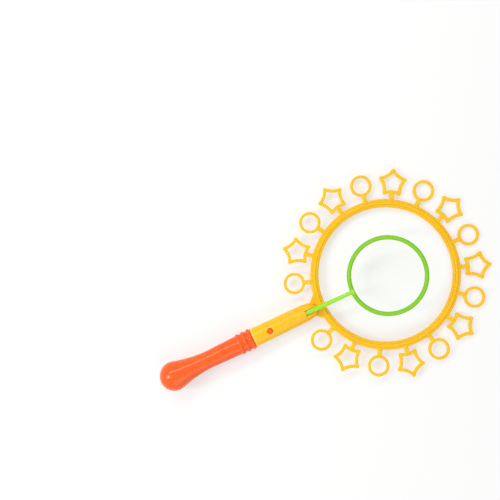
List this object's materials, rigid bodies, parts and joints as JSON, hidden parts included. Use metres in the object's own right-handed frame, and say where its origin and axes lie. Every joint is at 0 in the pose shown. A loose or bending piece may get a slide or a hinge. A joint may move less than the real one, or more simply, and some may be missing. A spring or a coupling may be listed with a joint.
{
  "type": "bubble wand",
  "caption": "Hand-held bubble wand: large ring edged with circle and star loops on a tubular neck, bulb-ended handle locked by a snap button, smaller plug-in ring above.",
  "frame": {"origin": "middle of the far circle loop, in line with the handle, by which the wand hangs", "axes": "+X along the wand from the handle to the far loop, +Z square to the big ring, on the side of the snap button and the small ring"},
  "size_m": [0.4217, 0.251, 0.0532],
  "materials": {
    "orange_plastic": "moulded, glossy",
    "yellow_plastic": "moulded, glossy",
    "green_plastic": "moulded, glossy"
  },
  "bodies": {
    "wand": {"handle_upper_shell": "orange_plastic", "handle_lower_shell": "orange_plastic", "neck": "yellow_plastic", "ring": "yellow_plastic", "circle_loop_1": "yellow_plastic", "circle_loop_2": "yellow_plastic", "circle_loop_3": "yellow_plastic", "circle_loop_4": "yellow_plastic", "circle_loop_5": "yellow_plastic", "circle_loop_6": "yellow_plastic", "circle_loop_7": "yellow_plastic", "circle_loop_8": "yellow_plastic", "circle_loop_9": "yellow_plastic", "star_loop_1": "yellow_plastic", "star_loop_2": "yellow_plastic", "star_loop_3": "yellow_plastic", "star_loop_4": "yellow_plastic", "star_loop_5": "yellow_plastic", "star_loop_6": "yellow_plastic", "star_loop_7": "yellow_plastic", "star_loop_8": "yellow_plastic"},
    "snap_button": {"snap_tongue": "orange_plastic"},
    "small_wand": {"small_ring": "green_plastic", "stem": "green_plastic"}
  },
  "joints": [
    {"name": "button_press", "type": "hinge", "parent": "wand", "child": "snap_button", "pos_m": [-0.2821, 0, 0.00821], "axis": [0, 1, 0], "range_deg": [0, 8.5], "stiffness_Nm_per_rad": 0.8},
    {"name": "small_wand_pull", "type": "slide", "parent": "wand", "child": "small_wand", "axis": [0.9848, 0, 0.1736], "range_m": [0, 0.0235]}
  ]
}
